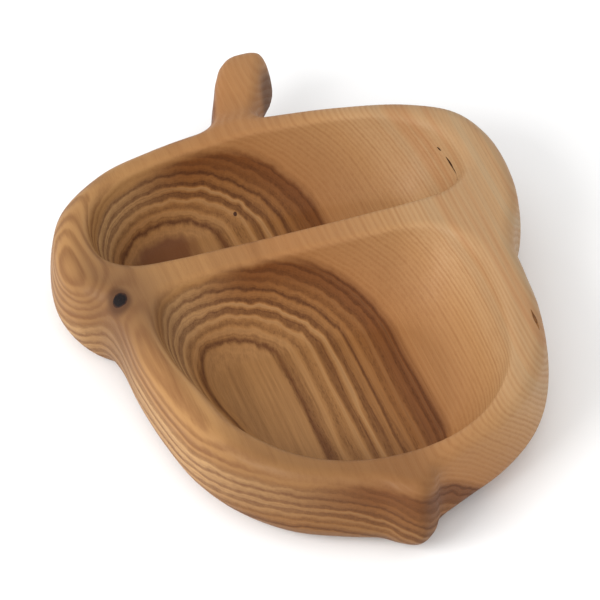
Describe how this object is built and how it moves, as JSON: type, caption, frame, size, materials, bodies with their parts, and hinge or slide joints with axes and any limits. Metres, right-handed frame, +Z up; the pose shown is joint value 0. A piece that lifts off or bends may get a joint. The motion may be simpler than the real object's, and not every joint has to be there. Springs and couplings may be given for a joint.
{
  "type": "divided wooden bowl",
  "caption": "Shallow acorn-shaped wooden bowl with a hollow in the cap, a hollow in the nut, a straight partition between them and a bent stem as handle.",
  "frame": {"origin": "middle of the bounding box, on the flat base the bowl stands on", "axes": "+Z up, +Y along the grain from the point of the nut to the stem, +X to the right seen from the point"},
  "size_m": [0.2072, 0.2886, 0.043],
  "materials": {
    "oiled_wood": "oiled and waxed, satin, open ring-porous grain",
    "dead_knot": "dense black-brown dead branch wood, sanded flush",
    "ingrown_bark": "dry crumbly bark, matte"
  },
  "bodies": {
    "root": {"bowl_body": "oiled_wood", "rim_knot": "dead_knot", "pin_knot": "dead_knot", "bark_pocket": "ingrown_bark"}
  },
  "joints": []
}
